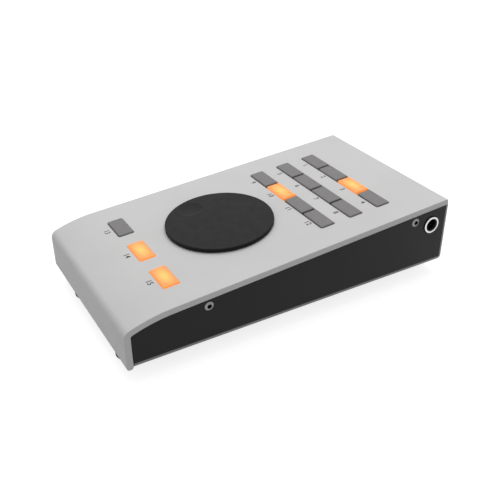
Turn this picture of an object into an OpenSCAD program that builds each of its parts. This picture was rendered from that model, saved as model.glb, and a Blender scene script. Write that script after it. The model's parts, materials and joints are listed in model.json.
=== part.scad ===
// Desktop remote control: a bent metal cover over a black pan chassis, with rows of lit keys
// and a jog wheel on the panel, a jack socket in the right side and a USB socket in the back.
// Millimetres. +X is to the user's right, +Y to the back and +Z up.
// The origin is on the table, under the middle of the case.

/* [Case] */
// Width over the edges of the cover
case_w = 104; // [103:0.5:130]
// Depth from the front wall of the cover to the back of the chassis
case_d = 189.5; // [184:0.5:230]
// Height of the panel over the table, at mid-depth
panel_mid_h = 40.13; // [38:0.01:50]
// Slope of the panel in degrees, rising to the back
panel_slope = 4.26; // [2:0.01:6]
// Thickness of the bent cover
cover_t = 3.3; // [2:0.1:4]
// Inner radius of the sharp bend at the front edge
nose_in_r = 1.3; // [0.8:0.1:4]
// Outer radius of the gentle curve in front of the keys
brow_r = 78; // [60:1:120]
// Slope of the cover in degrees where the gentle curve meets the sharp bend
brow_slope = 20.3; // [10:0.1:24]
// Height of the front wall's lower edge over the table
lip_h = 8.5; // [8.2:0.1:9.6]
// How far the cover's back end stands in from the back of the chassis
cover_setback = 2.4; // [0.4:0.1:3]
// Radius of the cover's upper back edge
cover_end_r = 1; // [0.3:0.1:1.8]

/* [Chassis] */
// Thickness of the chassis sheet
tray_t = 1.5; // [1:0.1:2]
// Inner radius of the chassis bends
tray_bend_in_r = 1.65; // [0.5:0.05:3]
// How far the chassis walls stand in from the edges of the cover
tray_inset = 0.4; // [0:0.1:1]
// Gap between the chassis and the cover
seam = 0.3; // [0.1:0.05:0.5]
// Radius of the upper back corners of the chassis
tray_corner_r = 2.2; // [0.5:0.1:4]
// Depth of the flange at the top of the chassis back, under the end of the cover
back_flange = 7; // [4:0.5:8]

/* [Keys] */
// Width of a key cap
key_w = 17.1; // [13:0.1:18]
// Depth of a key cap
key_d = 8.2; // [6.6:0.1:10]
// Space between two caps in a row
key_between = 1.3; // [0.6:0.01:2]
// Distance between the rows of the key grid
key_row_pitch = 17.85; // [13:0.05:18]
// Height of a cap over the panel
key_rise = 0.7; // [0.7:0.1:3]
// Travel of a key
key_travel = 0.6; // [0.3:0.1:0.6]
// Gap round a cap in its slot
key_gap = 0.25; // [0.15:0.05:0.5]
// Corner radius of a cap
key_corner_r = 0.8; // [0.3:0.1:2]
// Wall thickness of a cap
key_wall = 1.2; // [0.8:0.1:1.5]
// Overhang of the flange that keeps a cap in its slot
key_flange = 1; // [0.5:0.1:1.5]
// Thickness of that flange
key_flange_t = 1.2; // [0.8:0.1:1.4]
// Rear row of keys, from the back of the case
grid_setback = 34; // [30:0.1:37]
// Front keys, from the front of the case
front_key_setback = 31.1; // [29:0.1:34]

/* [Jog wheel] */
// Radius of the wheel
wheel_r = 28.8; // [22:0.1:35]
// Wheel axis, from the front of the case
wheel_setback = 76; // [74:0.1:78]
// Height of the wheel's top over the panel
wheel_rise = 2.4; // [2.3:0.1:6]
// Gap between the wheel and the panel
wheel_gap = 0.4; // [0.3:0.1:0.5]
// Height over the panel where the bevel of the rim begins
wheel_widest = 1.8; // [1.2:0.1:2]
// Width of the bevel of the rim
wheel_bevel = 0.6; // [0.3:0.1:0.8]
// Radius of the finger dimple at the surface
dimple_r = 7; // [4:0.1:7.2]
// Depth of the finger dimple
dimple_depth = 1; // [0.5:0.1:1.2]
// Distance of the dimple from the wheel's axis
dimple_offset = 20.4; // [14:0.1:20.8]
// Direction of the dimple from the axis, in degrees
dimple_angle = 203; // [0:1:359]

/* [Encoder] */
// Width of the square encoder housing
encoder_w = 14; // [12:0.5:20]
// Height of the encoder housing
encoder_h = 6.5; // [5.5:0.1:9]
// Radius of the encoder shaft
shaft_r = 3; // [2.5:0.1:3.6]
// Wall of the threaded bushing
bushing_wall = 0.45; // [0.4:0.05:1]
// Height of the bushing over the key board
bushing_rise = 3.9; // [2.6:0.1:4.5]
// Radius of the wheel's hub
hub_r = 6; // [5:0.1:8]
// Width across the flats of the bushing's nut
bushing_nut_af = 10; // [9:0.5:12]
// Height of the bushing's nut
bushing_nut_h = 2; // [1.5:0.1:2.5]
// Clearance of a shaft, pin or screw in its hole
fit_gap = 0.05; // [0.02:0.01:0.1]

/* [Boards] */
// Thickness of the circuit boards
board_t = 1.6; // [1:0.1:2]
// Height of the spacers between the cover and the key board
spacer_h = 7.3; // [7.2:0.1:9]
// Radius of a board spacer
spacer_r = 2.5; // [2:0.1:3]
// Margin of the key board beside the outer keys
board_margin_x = 7; // [7:0.1:8]
// Margin of the key board before and behind the outer keys
board_margin_y = 4; // [2:0.1:5]
// Width of a square key switch
switch_w = 6; // [5.6:0.1:7]
// Height of a key switch
switch_h = 3.6; // [3.4:0.1:3.8]
// Radius of a switch plunger
plunger_r = 1.7; // [1.2:0.1:1.9]

/* [Sockets] */
// Radius of the jack's bore
jack_r = 3.25; // [2:0.05:3.5]
// Outer radius of the jack's metal ferrule
ferrule_r = 4.75; // [4.5:0.05:5.5]
// How far the ferrule stands out of the side wall
ferrule_proud = 0.8; // [0:0.1:1.3]
// Length of the ferrule
ferrule_len = 10.4; // [8:0.1:14]
// Jack axis below the panel
jack_drop = 12.3; // [11.5:0.1:13]
// Jack axis, from the back of the case
jack_setback = 12.6; // [10:0.1:13.5]
// Length of the jack body
jack_len = 30; // [22:0.5:32]
// Width and height of the jack body
jack_w = 12; // [11.5:0.1:12.6]
// Width of the USB shell
usb_w = 12; // [11:0.1:13]
// Height of the USB shell
usb_h = 10.8; // [10:0.1:11.5]
// Length of the USB shell
usb_len = 16; // [12:0.5:18]
// Wall of the USB shell
usb_wall = 0.4; // [0.3:0.1:0.6]

/* [Feet and screws] */
// Height of the feet, from the table to the chassis floor
foot_h = 8.1; // [7:0.05:8.2]
// Radius of a foot at the chassis
foot_r = 6.4; // [5:0.1:6.6]
// Foot axis, from the side of the case
foot_inset_x = 22.5; // [10:0.5:30]
// Axis of the front feet, from the front of the case
foot_front_inset = 9; // [8.8:0.1:20]
// Axis of the back feet, from the back of the case
foot_back_inset = 11; // [10:0.1:20]
// Front case screws, from the front of the case
screw_front_setback = 42.5; // [36:0.5:60]
// Back case screws, from the back of the case
screw_back_setback = 24; // [23:0.1:28]
// Case screws below the panel
screw_drop = 7.1; // [6.5:0.1:7.5]
// Thread radius of the case and board screws
screw_r = 1.25; // [1:0.05:1.3]
// Head radius of the case screws
screw_head_r = 2.35; // [2:0.05:3]
// Head height of the case screws
screw_head_h = 0.9; // [0.8:0.1:2]
// Length of the case screws under the head
screw_len = 6; // [5:0.5:6.5]
// Width across the flats of the case screws' hexagon
screw_hex_af = 1.8; // [1.2:0.1:1.9]
// Thread radius of the foot screws
foot_screw_r = 1.5; // [1:0.1:1.6]
// Width across the flats of the foot nuts
foot_nut_af = 5.5; // [5:0.5:7]
// Height of the foot nuts
foot_nut_h = 2.4; // [2:0.1:3]

/* [Hidden] */
$fn = 96;
// Points along each rounded stretch of an outline
ARC_STEPS = 16;
// Overrun of a cut past the face it opens
CUT = 1;
// Gap between two flat faces that only just clear each other
FACE_GAP = 0.1;

front_y = -case_d / 2;
back_y = case_d / 2;
floor_z = foot_h + tray_t;
tray_x = case_w / 2 - tray_inset;
tray_in_x = tray_x - tray_t;
tray_in_y = back_y - tray_t;
tray_bend_r = tray_bend_in_r + tray_t;
tray_front_y = front_y + cover_t + seam;

// Panel frame: v runs up the slope from mid-depth, and the panel's surface is at height 0.
wheel_v = (front_y + wheel_setback) / cos(panel_slope);
front_key_v = (front_y + front_key_setback) / cos(panel_slope);
grid_v = (back_y - grid_setback) / cos(panel_slope);
GRID_COLUMNS = 4;
GRID_ROWS = 3;
key_pitch = key_w + key_between;
front_key_pitch = key_pitch * (GRID_COLUMNS - 1) / 2;
// Keys 1 to 12 are the grid, read from the back row and the left, and 13 to 15 the front keys.
key_places = concat(
    [for (row = [0 : GRID_ROWS - 1], column = [0 : GRID_COLUMNS - 1])
        [(column - (GRID_COLUMNS - 1) / 2) * key_pitch, grid_v - row * key_row_pitch]],
    [for (side = [-1 : 1]) [side * front_key_pitch, front_key_v]]
);
KEY_COUNT = len(key_places);
// Keys that are lit
LIT_KEYS = [3, 10, 14, 15];

board_top = -cover_t - spacer_h;
board_under = board_top - board_t;
board_half_w = front_key_pitch + key_w / 2 + board_margin_x;
board_front = front_key_v - key_d / 2 - board_margin_y;
board_back = grid_v + key_d / 2 + board_margin_y;
SPACER_EDGE = 3.5;
// The front spacers stand behind the front keys, where the cover is still flat.
spacer_places = [
    for (side = [-1, 1], v = [front_key_v + key_d / 2, 0, board_back - SPACER_EDGE])
        [side * (board_half_w - SPACER_EDGE), v]
];
SCREW_HOLE_GAP = 0.15;
BOARD_SCREW_LEN = 6;
BOARD_HEAD_R = 2.25;
BOARD_HEAD_H = 1.6;

PLUNGER_SPARE = 0.4;
SWITCH_LID = 0.9;
SWITCH_FLOOR = 0.4;
PLUNGER_FOOT_R = 2.3;
PLUNGER_FOOT_H = 0.8;
plunger_top = board_top + switch_h + key_travel + PLUNGER_SPARE;
flange_top = -cover_t - FACE_GAP;

bushing_r = shaft_r + fit_gap + bushing_wall;
bushing_top = board_top + bushing_rise;
BUSHING_SEAT = 1.5;
hub_bottom = bushing_top + wheel_gap;
HUB_SOCKET = 1.1;
HUB_HOLE_GAP = 1;
hub_top = wheel_gap + HUB_SOCKET;
SHAFT_END_GAP = 0.2;
shaft_top = hub_top - SHAFT_END_GAP;
SHAFT_FLAT = 0.75;
ROTOR_R = 4.8;
ROTOR_H = 1.6;
ROTOR_GAP = 0.3;
ENCODER_WALL = 0.8;

jack_y = back_y - jack_setback;
jack_z = panel_z(jack_y) - jack_drop;
jack_face_x = tray_x + ferrule_proud;
JACK_WALL_GAP = 0.5;
jack_front_x = tray_in_x - JACK_WALL_GAP;
FERRULE_HOLE_GAP = 0.4;
JACK_END_WALL = 1.2;
CONTACT_T = 0.4;

io_top = jack_z - jack_w / 2;
io_under = io_top - board_t;
IO_DEPTH = 24.5;
IO_LEFT = -16;
IO_EDGE = 3.5;
io_back = tray_in_y - CUT;
io_front = io_back - IO_DEPTH;
IO_SIDE_GAP = 4;
io_right = tray_in_x - IO_SIDE_GAP;
io_spacer_places = [
    [IO_LEFT + IO_EDGE, io_front + IO_EDGE],
    [IO_LEFT + IO_EDGE, io_back - IO_EDGE],
    [-IO_LEFT - IO_EDGE, io_back - IO_EDGE],
    [io_right - IO_EDGE, io_front + IO_EDGE]
];

USB_MOUTH_W = 8.45;
USB_MOUTH_H = 7.8;
USB_CHAMFER = 1.6;
USB_TONGUE_W = 5.6;
USB_TONGUE_H = 3.2;
USB_MOUTH_DEPTH = 9;
USB_HOLE_GAP = 0.3;
usb_back = back_y - FACE_GAP;
usb_z = io_top + usb_h / 2;

SCREW_SOCKET = 1.6;
BLOCK_DEPTH = 7;
BLOCK_LEN = 5.5;
block_drop = screw_drop + BLOCK_DEPTH / 2;
case_screw_ys = [front_y + screw_front_setback, back_y - screw_back_setback];

foot_places = [
    for (side = [-1, 1], end = [-1, 1])
        [side * (case_w / 2 - foot_inset_x), end < 0 ? front_y + foot_front_inset : back_y - foot_back_inset]
];
FOOT_TAPER = 0.1;
FOOT_ROUND = 0.5;
FOOT_RECESS_R = 3.4;
FOOT_WEB = 3.5;
FOOT_HEAD_R = 2.75;
FOOT_HEAD_H = 1.8;

HEADER_W = 14;
HEADER_D = 5;
HEADER_H = 3;
HEADER_X = 8;
header_v = grid_v - key_row_pitch / 2;
RIBBON_W = 12;
RIBBON_T = 0.6;
RIBBON_BEND_R = 3;

// Height of the panel's surface over the table at depth y
function panel_z(y) = panel_mid_h + tan(panel_slope) * y;

// Unit normal, in side view, of a surface that slopes up to the back
function normal(slope) = [-sin(slope), cos(slope)];

// Points along an arc, with both its ends
function arc(centre, r, from, to) = [
    for (i = [0 : ARC_STEPS])
        let (angle = from + (to - from) * i / ARC_STEPS)
        centre + r * [cos(angle), sin(angle)]
];

// Centres of the cover's two front curves and of its rounded ends, in side view
nose_r = nose_in_r + cover_t;
brow_y = front_y + brow_r * (sin(brow_slope) - sin(panel_slope)) + nose_r * (1 - sin(brow_slope));
brow_centre = [brow_y, panel_z(brow_y)] - brow_r * normal(panel_slope);
nose_centre = brow_centre + (brow_r - nose_r) * normal(brow_slope);
lip_centre = [front_y + cover_t / 2, lip_h + cover_t / 2];
cover_end_y = back_y - cover_setback - cover_t * sin(panel_slope);
cover_end = [cover_end_y, panel_z(cover_end_y)];
cover_end_centre = cover_end - cover_end_r * (normal(panel_slope) + normal(panel_slope - 90));

// Side-view path just inside the cover, from the front wall over both curves
function inside_path(gap) = concat(
    arc(nose_centre, nose_in_r - gap, 180, 90 + brow_slope),
    arc(brow_centre, brow_r - cover_t - gap, 90 + brow_slope, 90 + panel_slope)
);

// Places children in the panel frame
module on_panel() {
    translate([0, 0, panel_mid_h]) rotate([panel_slope, 0, 0]) children();
}

// Extrudes a side view across the case, centred on it
module across(width) {
    rotate([90, 0, 90]) linear_extrude(width, center = true) children();
}

module rounded_rect(width, depth, r) {
    square([width - 2 * r, depth], center = true);
    square([width, depth - 2 * r], center = true);
    for (x = [-1, 1], y = [-1, 1])
        translate([x * (width / 2 - r), y * (depth / 2 - r)]) circle(r);
}

// Upright prism with round corners, from one height to another
module slab(width, depth, r, from, to) {
    translate([0, 0, from]) linear_extrude(to - from) rounded_rect(width, depth, r);
}

// Upright box on the panel's axes, centred across and along, from one height to another
module box_between(width, depth, from, to) {
    translate([-width / 2, -depth / 2, from]) cube([width, depth, to - from]);
}

module rod(r, from, to) {
    translate([0, 0, from]) cylinder(r = r, h = to - from);
}

module hex_prism(af, from, to) {
    translate([0, 0, from]) cylinder(d = af / cos(30), h = to - from, $fn = 6);
}

// Pan-head screw that points up, with its head under height 0
module pan_screw(thread_r, length, head_r, head_h) {
    rod(thread_r, 0, length);
    difference() {
        rod(head_r, -head_h, 0);
        hex_prism(head_r, -head_h - CUT, -head_h / 2);
    }
}

module key_places_on_panel() {
    on_panel() for (place = key_places) translate(place) children();
}

module cover_profile() {
    polygon(concat(
        [cover_end - cover_t * normal(panel_slope)],
        arc(cover_end_centre, cover_end_r, panel_slope, 90 + panel_slope),
        arc(brow_centre, brow_r, 90 + panel_slope, 90 + brow_slope),
        arc(nose_centre, nose_r, 90 + brow_slope, 180),
        arc(lip_centre, cover_t / 2, 180, 360),
        inside_path(0)
    ));
}

module key_slots() {
    slot_d = key_d + 2 * key_gap;
    slot_r = key_corner_r + key_gap;
    grid_slot_w = (GRID_COLUMNS - 1) * key_pitch + key_w + 2 * key_gap;
    for (row = [0 : GRID_ROWS - 1])
        translate([0, grid_v - row * key_row_pitch])
            slab(grid_slot_w, slot_d, slot_r, -cover_t - CUT, CUT);
    for (side = [-1 : 1])
        translate([side * front_key_pitch, front_key_v])
            slab(key_w + 2 * key_gap, slot_d, slot_r, -cover_t - CUT, CUT);
}

module top_cover() {
    color("gainsboro") difference() {
        across(case_w) cover_profile();
        on_panel() key_slots();
        on_panel() translate([0, wheel_v]) rod(hub_r + HUB_HOLE_GAP, -cover_t - CUT, CUT);
    }
}

// Screw axes of the case, pointing out of each side wall
module case_screw_places() {
    for (y = case_screw_ys, side = [-1, 1])
        translate([side * tray_x, y, panel_z(y) - screw_drop]) rotate([0, side * 90, 0]) children();
}

module cover_blocks() {
    color("lightgrey") difference() {
        for (y = case_screw_ys, side = [-1, 1])
            intersection() {
                on_panel()
                    translate([side * (tray_in_x - BLOCK_LEN / 2), y / cos(panel_slope)])
                        box_between(BLOCK_LEN, BLOCK_DEPTH, -block_drop, -cover_t);
                cube([2 * tray_in_x, case_d, 2 * panel_z(back_y)], center = true);
            }
        case_screw_places() rod(screw_r + fit_gap, -screw_len - tray_t - CUT, 0);
    }
}

// Block with rounded lower sides, lower back edge and upright back corners
module pan_block(half_w, front, back, bottom, top, r) {
    x = half_w - r;
    translate([-x, front, bottom]) cube([2 * x, back - r - front, top - bottom]);
    translate([-half_w, front, bottom + r]) cube([2 * half_w, back - r - front, top - bottom - r]);
    translate([-x, front, bottom + r]) cube([2 * x, back - front, top - bottom - r]);
    translate([-x, back - r, bottom + r]) rotate([0, 90, 0]) cylinder(r = r, h = 2 * x);
    for (side = [-1, 1]) {
        translate([side * x, front, bottom + r]) rotate([-90, 0, 0]) cylinder(r = r, h = back - r - front);
        translate([side * x, back - r, bottom + r]) cylinder(r = r, h = top - bottom - r);
        translate([side * x, back - r, bottom + r]) sphere(r);
    }
}

// Side view of the room for the chassis under the cover
module under_cover() {
    corner_z = panel_z(back_y) - cover_t / cos(panel_slope) - seam - tray_corner_r;
    polygon(concat(
        [[tray_front_y, foot_h - CUT]],
        inside_path(seam),
        arc([back_y - tray_corner_r, corner_z], tray_corner_r, 90 + panel_slope, 0),
        [[back_y, foot_h - CUT]]
    ));
}

// Side view of the flange at the top of the chassis back, and of all that lies over it
module over_flange() {
    from = tray_in_y - back_flange;
    to = back_y + CUT;
    drop = (cover_t + seam + tray_t) / cos(panel_slope);
    roof = panel_z(to) + CUT;
    polygon([[from, panel_z(from) - drop], [to, panel_z(to) - drop], [to, roof], [from, roof]]);
}

module chassis_tray() {
    top = panel_z(back_y);
    color("#26272a") difference() {
        intersection() {
            pan_block(tray_x, tray_front_y, back_y, foot_h, top, tray_bend_r);
            across(case_w) under_cover();
        }
        difference() {
            pan_block(tray_in_x, tray_front_y - CUT, tray_in_y, floor_z, top + CUT, tray_bend_in_r);
            across(case_w) over_flange();
        }
        case_screw_places() rod(screw_r + SCREW_HOLE_GAP, -tray_t - CUT, CUT);
        translate([tray_x, jack_y, jack_z]) rotate([0, 90, 0])
            rod(ferrule_r + FERRULE_HOLE_GAP, -tray_t - CUT, CUT);
        translate([0, back_y, usb_z])
            cube([usb_w + 2 * USB_HOLE_GAP, 4 * tray_t, usb_h + 2 * USB_HOLE_GAP], center = true);
        for (place = foot_places)
            translate(place) rod(foot_screw_r + SCREW_HOLE_GAP, foot_h - CUT, floor_z + CUT);
        for (place = io_spacer_places)
            translate(place) rod(screw_r + SCREW_HOLE_GAP, foot_h - CUT, floor_z + CUT);
    }
}

// Button-head screw that points down, with its head over height 0
module button_screw() {
    dome_r = (pow(screw_head_r, 2) + pow(screw_head_h, 2)) / (2 * screw_head_h);
    difference() {
        union() {
            rod(screw_r, -screw_len, 0);
            intersection() {
                rod(screw_head_r, 0, screw_head_h);
                translate([0, 0, screw_head_h - dome_r]) sphere(dome_r);
            }
        }
        hex_prism(screw_hex_af, screw_head_h - SCREW_SOCKET, screw_head_h + CUT);
    }
}

module case_screws() {
    color("grey") case_screw_places() button_screw();
}

module feet() {
    base_r = foot_r - FOOT_TAPER;
    color("#1c1c1e") for (place = foot_places) translate(place) rotate_extrude()
        polygon(concat(
            [
                [foot_screw_r + SCREW_HOLE_GAP, foot_h], [foot_screw_r + SCREW_HOLE_GAP, foot_h - FOOT_WEB],
                [FOOT_RECESS_R, foot_h - FOOT_WEB], [FOOT_RECESS_R, 0]
            ],
            arc([base_r - FOOT_ROUND, FOOT_ROUND], FOOT_ROUND, 270, 360),
            [[foot_r, foot_h]]
        ));
}

module foot_screws() {
    length = FOOT_WEB + tray_t + foot_nut_h;
    color("silver") for (place = foot_places)
        translate([place.x, place.y, foot_h - FOOT_WEB])
            pan_screw(foot_screw_r, length, FOOT_HEAD_R, FOOT_HEAD_H);
}

module foot_nuts() {
    color("silver") for (place = foot_places) translate(place) difference() {
        hex_prism(foot_nut_af, floor_z, floor_z + foot_nut_h);
        rod(foot_screw_r + fit_gap, floor_z - CUT, floor_z + foot_nut_h + CUT);
    }
}

module key_board() {
    color("darkgreen") on_panel() difference() {
        translate([-board_half_w, board_front, board_under])
            cube([2 * board_half_w, board_back - board_front, board_t]);
        translate([0, wheel_v]) rod(bushing_r + fit_gap, board_under - CUT, board_top + CUT);
        for (place = spacer_places)
            translate(place) rod(screw_r + SCREW_HOLE_GAP, board_under - CUT, board_top + CUT);
    }
}

module tapped_spacer(from, to) {
    difference() {
        rod(spacer_r, from, to);
        rod(screw_r + fit_gap, from - CUT, to + CUT);
    }
}

module board_spacers() {
    color("silver") on_panel() for (place = spacer_places)
        translate(place) tapped_spacer(board_top, -cover_t);
}

module io_spacers() {
    color("silver") for (place = io_spacer_places) translate(place) tapped_spacer(floor_z, io_under);
}

module board_screw() {
    pan_screw(screw_r, BOARD_SCREW_LEN, BOARD_HEAD_R, BOARD_HEAD_H);
}

module board_screws() {
    color("silver") {
        on_panel() for (place = spacer_places) translate([place.x, place.y, board_under]) board_screw();
        for (place = io_spacer_places) {
            translate([place.x, place.y, foot_h]) board_screw();
            translate([place.x, place.y, io_top]) mirror([0, 0, 1]) board_screw();
        }
    }
}

module switch_housings() {
    lid = board_top + switch_h;
    color("#202020") key_places_on_panel() difference() {
        box_between(switch_w, switch_w, board_top, lid);
        rod(PLUNGER_FOOT_R + FACE_GAP, board_top + SWITCH_FLOOR, lid - SWITCH_LID);
        rod(plunger_r + fit_gap, lid - SWITCH_LID - CUT, lid + CUT);
    }
}

module key_lights() {
    LIGHT_W = 3.2;
    LIGHT_D = 2.8;
    LIGHT_H = 1.9;
    color("ivory") key_places_on_panel() translate([key_w / 3, 0])
        box_between(LIGHT_W, LIGHT_D, board_top, board_top + LIGHT_H);
}

// Controller under the key board, and the USB interface on the socket board
module chips() {
    CONTROLLER_W = 12;
    INTERFACE_W = 7;
    CHIP_H = 1.4;
    color("#18181a") {
        on_panel() translate([-board_half_w / 2, wheel_v])
            box_between(CONTROLLER_W, CONTROLLER_W, board_under - CHIP_H, board_under);
        translate([HEADER_X, io_front + INTERFACE_W])
            box_between(INTERFACE_W, INTERFACE_W, io_top, io_top + CHIP_H);
    }
}

module encoder_housing() {
    bottom = board_under - encoder_h;
    color("#303236") on_panel() translate([0, wheel_v]) difference() {
        box_between(encoder_w, encoder_w, bottom, board_under);
        rod(ROTOR_R + ROTOR_GAP, bottom + ENCODER_WALL, board_under - BUSHING_SEAT - ENCODER_WALL);
        rod(shaft_r + FACE_GAP, bottom + ENCODER_WALL, board_under);
        rod(bushing_r + fit_gap, board_under - BUSHING_SEAT, board_under + CUT);
    }
}

module encoder_bushing() {
    bottom = board_under - BUSHING_SEAT;
    color("goldenrod") on_panel() translate([0, wheel_v]) difference() {
        rod(bushing_r, bottom, bushing_top);
        rod(shaft_r + fit_gap, bottom - CUT, bushing_top + CUT);
    }
}

module bushing_nut() {
    color("silver") on_panel() translate([0, wheel_v]) difference() {
        hex_prism(bushing_nut_af, board_top, board_top + bushing_nut_h);
        rod(bushing_r + fit_gap, board_top - CUT, board_top + bushing_nut_h + CUT);
    }
}

// Round bar with a flat along one side
module flatted_rod(r, from, to) {
    intersection() {
        rod(r, from, to);
        translate([-r - CUT, -r - CUT, from]) cube([2 * r + CUT - SHAFT_FLAT, 2 * r + 2 * CUT, to - from]);
    }
}

module encoder_shaft() {
    rotor_bottom = board_under - encoder_h + ENCODER_WALL + FACE_GAP;
    color("silver") on_panel() translate([0, wheel_v]) {
        rod(ROTOR_R, rotor_bottom, rotor_bottom + ROTOR_H);
        rod(shaft_r, rotor_bottom, bushing_top);
        flatted_rod(shaft_r, bushing_top, shaft_top);
    }
}

module wheel_hub() {
    color("dimgrey") on_panel() translate([0, wheel_v]) difference() {
        rod(hub_r, hub_bottom, hub_top);
        flatted_rod(shaft_r + fit_gap, hub_bottom - CUT, shaft_top);
    }
}

module jog_wheel() {
    EDGE = 0.2;
    bowl_r = (pow(dimple_r, 2) + pow(dimple_depth, 2)) / (2 * dimple_depth);
    color("#2b2c2f") on_panel() translate([0, wheel_v]) difference() {
        rotate_extrude() polygon([
            [0, wheel_gap], [wheel_r - EDGE, wheel_gap], [wheel_r, wheel_gap + EDGE],
            [wheel_r, wheel_widest], [wheel_r - wheel_bevel, wheel_rise], [0, wheel_rise]
        ]);
        rod(hub_r + fit_gap, wheel_gap - CUT, hub_top);
        rotate(dimple_angle) translate([dimple_offset, 0, wheel_rise - dimple_depth + bowl_r]) sphere(bowl_r);
    }
}

module io_board() {
    color("darkgreen") difference() {
        translate([IO_LEFT, io_front, io_under]) cube([io_right - IO_LEFT, IO_DEPTH, board_t]);
        for (place = io_spacer_places)
            translate(place) rod(screw_r + SCREW_HOLE_GAP, io_under - CUT, io_top + CUT);
    }
}

// Jack axis, with height 0 at the face of the ferrule and the plug's way out pointing up
module on_jack() {
    translate([jack_face_x, jack_y, jack_z]) rotate([0, 90, 0]) children();
}

module jack_body() {
    mouth = jack_front_x - jack_face_x;
    color("#1b1b1d") difference() {
        on_jack() box_between(jack_w, jack_w, mouth - jack_len, mouth);
        on_jack() rod(ferrule_r + fit_gap, -ferrule_len, mouth + CUT);
        on_jack() rod(jack_r, mouth - jack_len + JACK_END_WALL, mouth);
        jack_contact_slots(fit_gap);
    }
}

module jack_ferrule() {
    color("#d8d8d8") on_jack() difference() {
        rod(ferrule_r, -ferrule_len, 0);
        rod(jack_r, -ferrule_len - CUT, CUT);
    }
}

// Three leaf contacts that lie in the roof of the jack body, clear of the plug's way
module jack_contact_slots(gap) {
    CONTACT_W = 3;
    CONTACT_LEN = 8;
    CONTACT_PITCH = 5;
    roof = jack_z + jack_w / 2;
    for (i = [0 : 2])
        translate([jack_face_x - ferrule_len - CONTACT_PITCH / 2 - i * CONTACT_PITCH, jack_y, 0])
            box_between(CONTACT_W + 2 * gap, CONTACT_LEN + 2 * gap, roof - CONTACT_T - gap, roof);
}

module jack_contacts() {
    color("goldenrod") jack_contact_slots(0);
}

// USB axis, with height 0 at the mouth and the plug's way out pointing up
module on_usb() {
    translate([0, usb_back, usb_z]) rotate([-90, 0, 0]) children();
}

module usb_shell() {
    color("silver") on_usb() difference() {
        box_between(usb_w, usb_h, -usb_len, 0);
        box_between(usb_w - 2 * usb_wall, usb_h - 2 * usb_wall, -usb_len + usb_wall, CUT);
    }
}

// Outline of the socket's mouth, with its two upper corners cut off
module usb_mouth() {
    half_w = USB_MOUTH_W / 2;
    half_h = USB_MOUTH_H / 2;
    polygon([
        [-half_w, half_h], [half_w, half_h], [half_w, USB_CHAMFER - half_h],
        [half_w - USB_CHAMFER, -half_h], [USB_CHAMFER - half_w, -half_h], [-half_w, USB_CHAMFER - half_h]
    ]);
}

module usb_core() {
    inner_w = usb_w - 2 * usb_wall - 2 * fit_gap;
    inner_h = usb_h - 2 * usb_wall - 2 * fit_gap;
    color("#f2f2ee") on_usb() {
        difference() {
            box_between(inner_w, inner_h, -usb_len + usb_wall + fit_gap, -usb_wall);
            translate([0, 0, -USB_MOUTH_DEPTH]) linear_extrude(USB_MOUTH_DEPTH + CUT) usb_mouth();
        }
        box_between(USB_TONGUE_W, USB_TONGUE_H, -USB_MOUTH_DEPTH, -CUT);
    }
}

module usb_contacts() {
    PIN_W = 1;
    PIN_T = 0.25;
    PIN_LEN = 6;
    PIN_PITCH = 2.5;
    color("gold") on_usb() for (x = [-1, 1], y = [-1, 1])
        translate([x * PIN_PITCH / 2, y * (USB_TONGUE_H + PIN_T) / 2])
            box_between(PIN_W, PIN_T, -USB_MOUTH_DEPTH, -USB_MOUTH_DEPTH + PIN_LEN);
}

// Sockets for the ribbon: one under the key board, one under the socket board's front edge
module ribbon_headers() {
    color("#e8e4d8") {
        on_panel() translate([HEADER_X, header_v])
            box_between(HEADER_W, HEADER_D, board_under - HEADER_H, board_under);
        translate([HEADER_X, io_front + HEADER_D / 2])
            box_between(HEADER_W, HEADER_D, io_under - HEADER_H, io_under);
    }
}

// Ribbon from the socket board forward, then up into the header under the key board
module ribbon_cable() {
    low_z = io_under - HEADER_H / 2;
    rise_y = header_v * cos(panel_slope) - (board_under - HEADER_H) * sin(panel_slope);
    bend_y = rise_y + RIBBON_BEND_R;
    header_z = panel_z(rise_y) + (board_under - HEADER_H) / cos(panel_slope) - FACE_GAP;
    color("lightslategrey") translate([HEADER_X, 0]) {
        across(RIBBON_W) translate([bend_y, low_z - RIBBON_T / 2])
            square([io_front - FACE_GAP - bend_y, RIBBON_T]);
        across(RIBBON_W) translate([bend_y, low_z + RIBBON_BEND_R]) intersection() {
            difference() {
                circle(RIBBON_BEND_R + RIBBON_T / 2);
                circle(RIBBON_BEND_R - RIBBON_T / 2);
            }
            translate([-2 * RIBBON_BEND_R, -2 * RIBBON_BEND_R]) square(2 * RIBBON_BEND_R);
        }
        across(RIBBON_W) translate([rise_y - RIBBON_T / 2, low_z + RIBBON_BEND_R])
            square([RIBBON_T, header_z - low_z - RIBBON_BEND_R]);
    }
}

function is_lit(key) = len(search(key, LIT_KEYS)) > 0;

// Hollow cap with a flange under the panel and a stem down to its switch
module key_cap(key) {
    STEM_R = 1.5;
    flange_bottom = flange_top - key_flange_t;
    inner_w = key_w - 2 * key_wall;
    inner_d = key_d - 2 * key_wall;
    color(is_lit(key) ? "orange" : "#7d7b7b") on_panel() translate(key_places[key - 1]) {
        difference() {
            union() {
                slab(key_w, key_d, key_corner_r, flange_bottom, key_rise);
                box_between(inner_w, key_d + 2 * (key_gap + key_flange), flange_bottom, flange_top);
            }
            box_between(inner_w, inner_d, flange_bottom - CUT, key_rise - key_wall);
        }
        rod(STEM_R, plunger_top, key_rise - key_wall / 2);
    }
}

module key_plunger(key) {
    foot_top = board_top + switch_h - SWITCH_LID - FACE_GAP;
    color("#2a2a2c") on_panel() translate(key_places[key - 1]) {
        rod(plunger_r, foot_top, plunger_top);
        rod(PLUNGER_FOOT_R, foot_top - PLUNGER_FOOT_H, foot_top);
    }
}

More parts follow.
